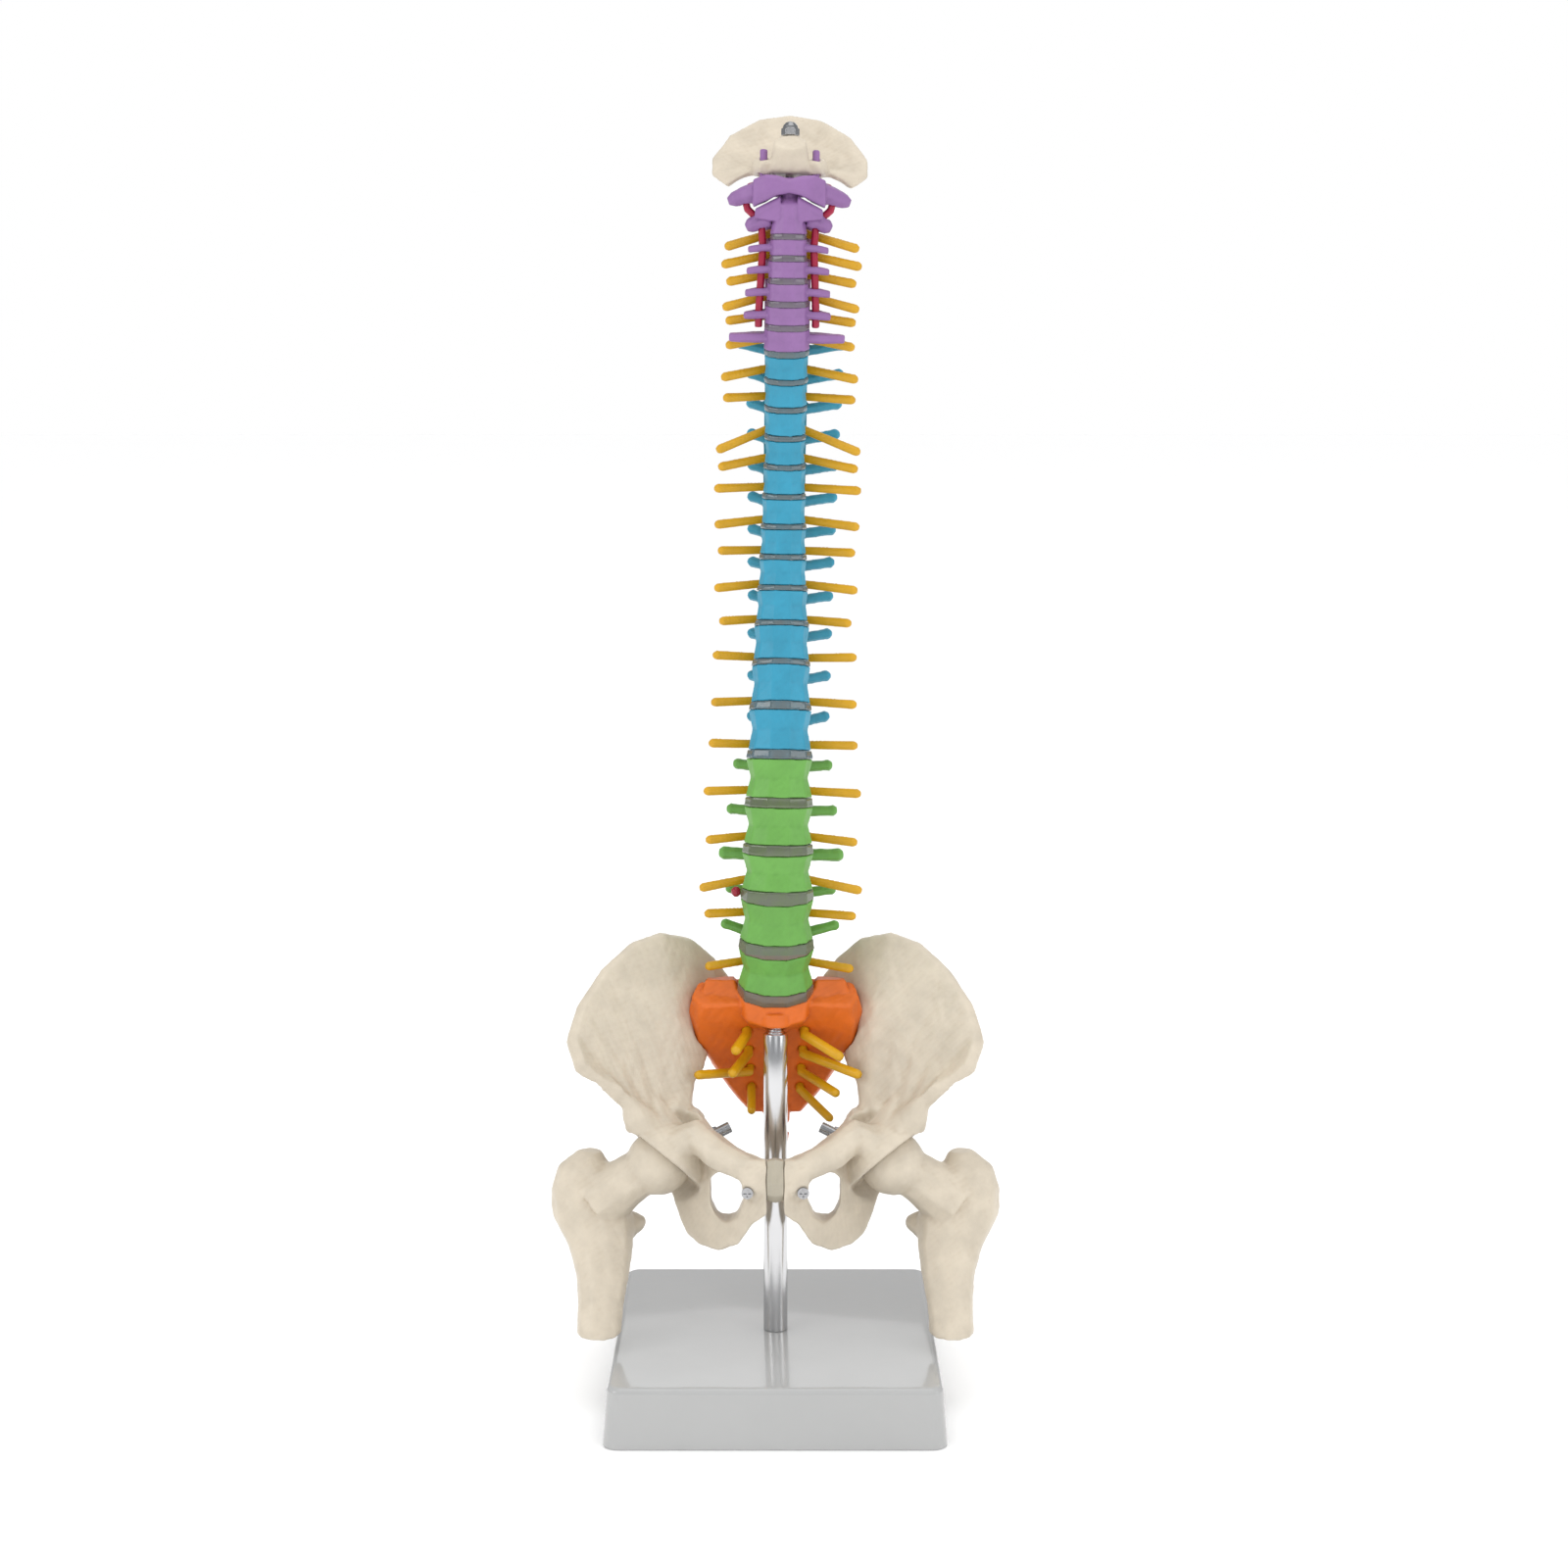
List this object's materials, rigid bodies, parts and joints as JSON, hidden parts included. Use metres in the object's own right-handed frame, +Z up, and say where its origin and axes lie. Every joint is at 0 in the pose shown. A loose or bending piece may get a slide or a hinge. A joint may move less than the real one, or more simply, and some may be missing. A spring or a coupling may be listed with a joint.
{
  "type": "spine anatomy model",
  "caption": "Desk-size teaching model of a human spine with pelvis, femur stumps and occiput, coloured by region, on a steel rod and base plate.",
  "frame": {"origin": "centre of the rod's axis at the underside of the base plate", "axes": "+Z up along the rod, -Y towards the viewer and the front of the model, +X towards the model's anatomical left side"},
  "size_m": [0.1592, 0.14, 0.448],
  "materials": {
    "base_plastic": "smooth gloss",
    "polished_steel": "polished",
    "zinc_steel": "bright zinc",
    "sacral_orange": "satin",
    "bone_cream": "satin",
    "clear_disc": "smoky clear gloss",
    "prolapse_red": "gloss",
    "nerve_yellow": "satin",
    "artery_red": "satin",
    "lumbar_green": "satin",
    "thoracic_blue": "satin",
    "cervical_purple": "satin"
  },
  "bodies": {
    "stand_and_skeleton": {"base": "base_plastic", "support_rod": "polished_steel", "sacrum": "sacral_orange", "hip_bone_right": "bone_cream", "hip_bone_left": "bone_cream", "symphysis_disc": "clear_disc", "pubic_screws": "zinc_steel", "l5": "lumbar_green", "l4": "lumbar_green", "l3": "lumbar_green", "l2": "lumbar_green", "l1": "lumbar_green", "t12": "thoracic_blue", "t11": "thoracic_blue", "t10": "thoracic_blue", "t9": "thoracic_blue", "t8": "thoracic_blue", "t7": "thoracic_blue", "t6": "thoracic_blue", "t5": "thoracic_blue", "t4": "thoracic_blue", "t3": "thoracic_blue", "t2": "thoracic_blue", "t1": "thoracic_blue", "c7": "cervical_purple", "c6": "cervical_purple", "c5": "cervical_purple", "c4": "cervical_purple", "c3": "cervical_purple", "c2": "cervical_purple", "c1": "cervical_purple", "disc_l5_s1": "clear_disc", "disc_l4_l5": "clear_disc", "disc_l3_l4": "clear_disc", "disc_l2_l3": "clear_disc", "disc_l1_l2": "clear_disc", "discs_thoracic": "clear_disc", "discs_cervical": "clear_disc", "disc_prolapse": "prolapse_red", "spinal_cord": "nerve_yellow", "core_rod": "zinc_steel", "core_nut": "zinc_steel", "nerves_cervical": "nerve_yellow", "nerves_thoracic": "nerve_yellow", "nerves_lumbar": "nerve_yellow", "nerves_sacral": "nerve_yellow", "artery_right": "artery_red", "artery_left": "artery_red", "occiput": "bone_cream"},
    "right_femur": {"femur_right": "bone_cream", "hip_bolt_right": "zinc_steel"},
    "left_femur": {"femur_left": "bone_cream", "hip_bolt_left": "zinc_steel"},
    "right_wing_nut": {"wing_nut_right": "zinc_steel"},
    "left_wing_nut": {"wing_nut_left": "zinc_steel"}
  },
  "joints": [
    {"name": "right_hip_swing", "type": "hinge", "parent": "stand_and_skeleton", "child": "right_femur", "pos_m": [-0.041, -0.008, 0.084], "axis": [0.8892, 0.222, 0.4001], "range_deg": [-40, 25]},
    {"name": "right_wing_nut_turn", "type": "hinge", "parent": "right_femur", "child": "right_wing_nut", "pos_m": [-0.02411, -0.00378, 0.0916], "axis": [0.8892, 0.222, 0.4001], "continuous": true},
    {"name": "left_hip_swing", "type": "hinge", "parent": "stand_and_skeleton", "child": "left_femur", "pos_m": [0.041, -0.008, 0.084], "axis": [-0.8892, 0.222, 0.4001], "range_deg": [-25, 40]},
    {"name": "left_wing_nut_turn", "type": "hinge", "parent": "left_femur", "child": "left_wing_nut", "pos_m": [0.02411, -0.00378, 0.0916], "axis": [-0.8892, 0.222, 0.4001], "continuous": true}
  ]
}
